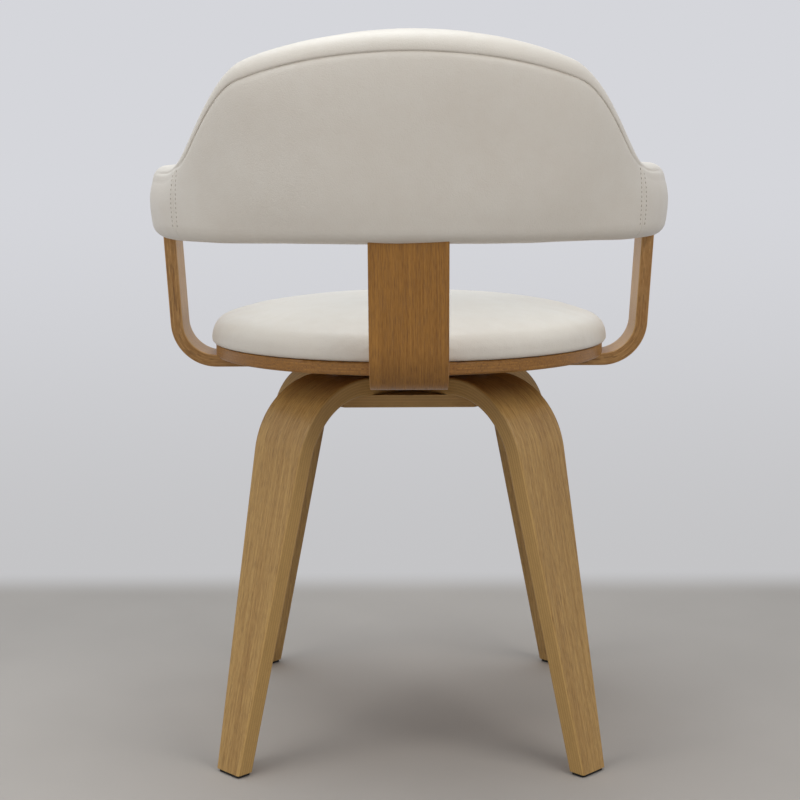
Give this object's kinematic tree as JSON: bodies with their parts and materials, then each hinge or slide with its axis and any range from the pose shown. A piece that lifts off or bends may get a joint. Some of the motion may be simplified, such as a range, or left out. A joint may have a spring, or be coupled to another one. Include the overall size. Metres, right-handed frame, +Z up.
{
  "type": "swivel dining chair",
  "caption": "Dining chair with crossed bent plywood legs, a round padded seat on a swivel and a curved padded back on bent plywood strips",
  "frame": {"origin": "on the swivel axis at the floor, midway between the four feet", "axes": "+Z up; the sitter faces -Y, the back rest stands at +Y; +X is at the sitter's left"},
  "size_m": [0.543, 0.5161, 0.7321],
  "materials": {
    "bent_plywood": "satin",
    "board_plywood": "satin",
    "inner_plywood": "matte",
    "cover": "satin",
    "foam": "matte",
    "pad_felt": "matte",
    "black_steel": "satin",
    "bright_steel": "satin"
  },
  "bodies": {
    "base": {"leg_arch_lower": "bent_plywood", "leg_arch_upper": "bent_plywood", "clamp_plate": "board_plywood", "foot_pad_front_left": "pad_felt", "foot_pad_front_right": "pad_felt", "foot_pad_rear_left": "pad_felt", "foot_pad_rear_right": "pad_felt", "swivel_lower_plate": "black_steel", "swivel_centre_pin": "bright_steel", "base_bolts": "bright_steel", "base_washers": "bright_steel", "base_nuts": "bright_steel"},
    "ball_ring": {"swivel_ball_cage": "bright_steel", "swivel_balls": "bright_steel"},
    "seat": {"swivel_upper_plate": "black_steel", "upper_plate_bolts": "bright_steel", "seat_tee_nuts": "bright_steel", "seat_board": "board_plywood", "pad_board": "inner_plywood", "seat_foam": "foam", "seat_cover": "cover", "pad_screws": "bright_steel", "arm_strip_left": "bent_plywood", "arm_strip_right": "bent_plywood", "rear_strip": "bent_plywood", "strip_screws": "bright_steel", "back_board": "inner_plywood", "back_rear_padding": "foam", "back_front_padding": "foam", "back_rear_cover": "cover", "back_front_cover": "cover", "back_bolts": "bright_steel", "back_tee_nuts": "bright_steel"}
  },
  "joints": [
    {"name": "seat_swivel", "type": "hinge", "parent": "base", "child": "seat", "pos_m": [0, 0, 0.40195], "axis": [0, 0, 1], "continuous": true},
    {"name": "ball_ring_turn", "type": "hinge", "parent": "base", "child": "ball_ring", "pos_m": [0, 0, 0.40195], "axis": [0, 0, 1], "continuous": true}
  ],
  "couplings": [
    {"joint": "ball_ring_turn", "follows": "seat_swivel", "ratio": 0.5}
  ]
}
